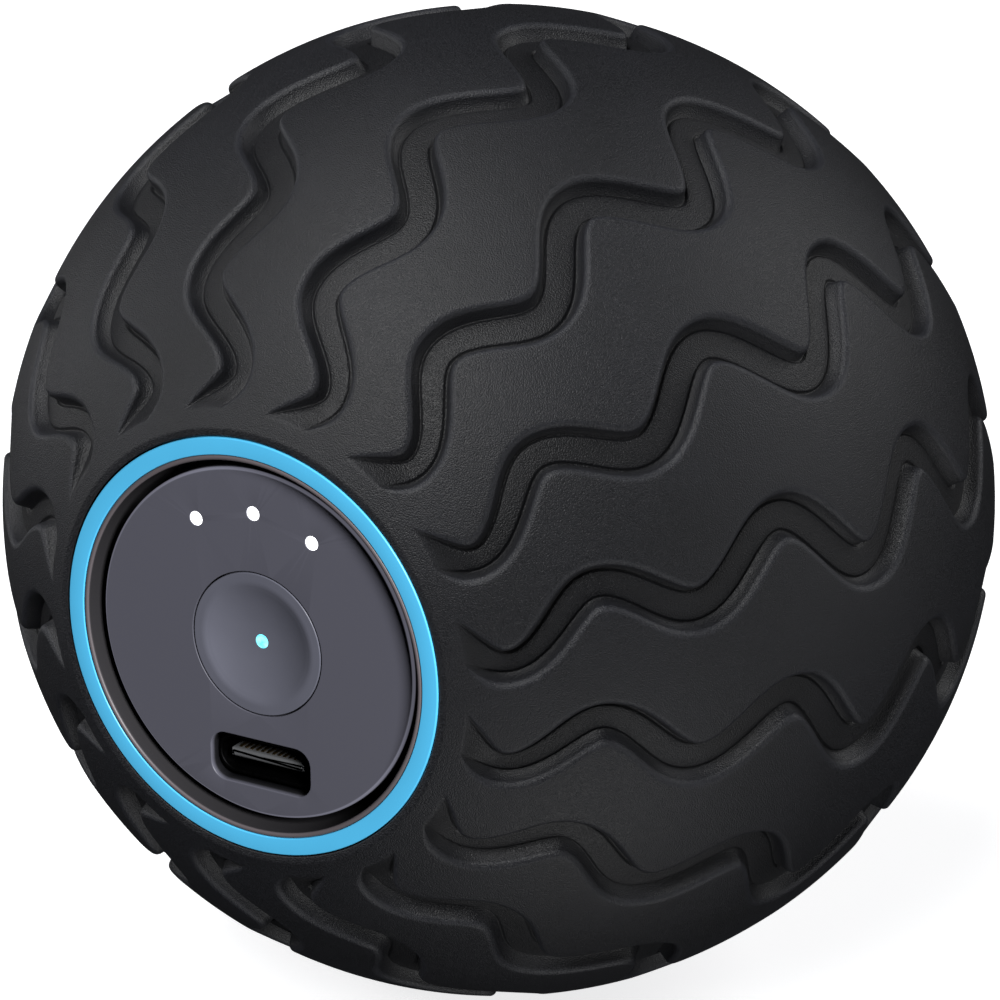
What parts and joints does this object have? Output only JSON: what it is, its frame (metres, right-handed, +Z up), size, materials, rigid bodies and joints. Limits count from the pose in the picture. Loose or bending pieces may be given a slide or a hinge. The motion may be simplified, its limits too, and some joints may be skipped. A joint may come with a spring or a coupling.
{
  "type": "massage ball",
  "caption": "Grooved silicone vibrating massage ball with a flat control cap, accent ring, power button, level lights and charging port.",
  "frame": {"origin": "centre of the ball", "axes": "-Y out of the control cap along its axis, +Z up with the level lights above the button and the port below it, +X to the right seen from the front; the motor's shaft lies along X"},
  "size_m": [0.08, 0.0761, 0.08],
  "materials": {
    "silicone_sleeve": "matt moulded silicone with a fine grain",
    "accent_blue": "smooth satin",
    "bezel_grey": "satin",
    "cap_grey": "fine matt",
    "cyan_lens": "clear, lit",
    "white_light": "clear, lit",
    "black_plastic": "moulded",
    "shell_plastic": "moulded glass-filled nylon",
    "seal_rubber": "smooth",
    "zinc_steel": "zinc plated",
    "board_green": "solder mask",
    "ceramic_white": "chip body",
    "port_metal": "black plated",
    "contact_gold": "gold plated",
    "chip_black": "moulded epoxy",
    "component_tan": "ceramic chip",
    "connector_ivory": "moulded nylon",
    "lead_red": "extruded insulation",
    "lead_black": "extruded insulation",
    "chassis_plastic": "moulded",
    "foam_black": "closed-cell foam",
    "cell_steel": "nickel plated can",
    "cell_wrap": "heat-shrunk film",
    "paper_white": "insulating paper",
    "motor_steel": "zinc plated",
    "magnet_ferrite": "sintered ferrite",
    "bronze": "sintered bronze",
    "carbon": "carbon",
    "lamination": "stacked electrical steel",
    "copper": "enamelled wire",
    "weight_brass": "turned"
  },
  "bodies": {
    "ball": {"silicone_sleeve": "silicone_sleeve", "accent_ring": "accent_blue", "bezel": "bezel_grey", "control_cap": "cap_grey", "led_light_guide": "white_light", "led_baffle": "black_plastic", "front_shell": "shell_plastic", "rear_shell": "shell_plastic", "shell_seal": "seal_rubber", "shell_screws": "zinc_steel", "bezel_screws": "zinc_steel", "main_board": "board_green", "board_screws": "zinc_steel", "status_leds": "ceramic_white", "switch_body": "black_plastic", "switch_dome": "zinc_steel", "port_shell": "port_metal", "port_tongue": "black_plastic", "port_contacts": "contact_gold", "microcontroller": "chip_black", "charge_controller": "chip_black", "motor_driver": "chip_black", "board_components": "component_tan", "battery_header": "connector_ivory", "battery_plug": "connector_ivory", "motor_header": "connector_ivory", "motor_plug": "connector_ivory", "battery_lead_red": "lead_red", "battery_lead_black": "lead_black", "motor_lead_red": "lead_red", "motor_lead_black": "lead_black", "chassis": "chassis_plastic", "motor_clamps": "chassis_plastic", "motor_clamp_screws": "zinc_steel", "motor_dampers": "seal_rubber", "battery_clamps": "chassis_plastic", "battery_clamp_screws": "zinc_steel", "battery_pads": "foam_black", "battery_cell": "cell_steel", "battery_wrap": "cell_wrap", "battery_washer": "paper_white", "battery_tabs": "zinc_steel", "motor_can": "motor_steel", "motor_magnets": "magnet_ferrite", "motor_end_bell": "black_plastic", "motor_bushes": "bronze", "motor_brushes": "carbon", "motor_terminals": "bronze"},
    "button": {"power_button": "cap_grey", "button_lens": "cyan_lens"},
    "plunger": {"switch_plunger": "white_light"},
    "rotor": {"motor_shaft": "motor_steel", "rotor_core": "lamination", "rotor_windings": "copper", "commutator": "copper", "weight_left": "weight_brass", "weight_right": "weight_brass", "weight_set_screws": "zinc_steel"}
  },
  "joints": [
    {"name": "button_press", "type": "slide", "parent": "ball", "child": "button", "axis": [0, 1, 0], "range_m": [0, 0.0004], "stiffness_N_per_m": 1000, "springref_m": -0.001},
    {"name": "switch_press", "type": "slide", "parent": "ball", "child": "plunger", "axis": [0, 1, 0], "range_m": [0, 0.0003]},
    {"name": "rotor_spin", "type": "hinge", "parent": "ball", "child": "rotor", "pos_m": [0, -0.01, 0], "axis": [1, 0, 0], "continuous": true}
  ],
  "couplings": [
    {"joint": "switch_press", "follows": "button_press", "ratio": 0.75}
  ]
}
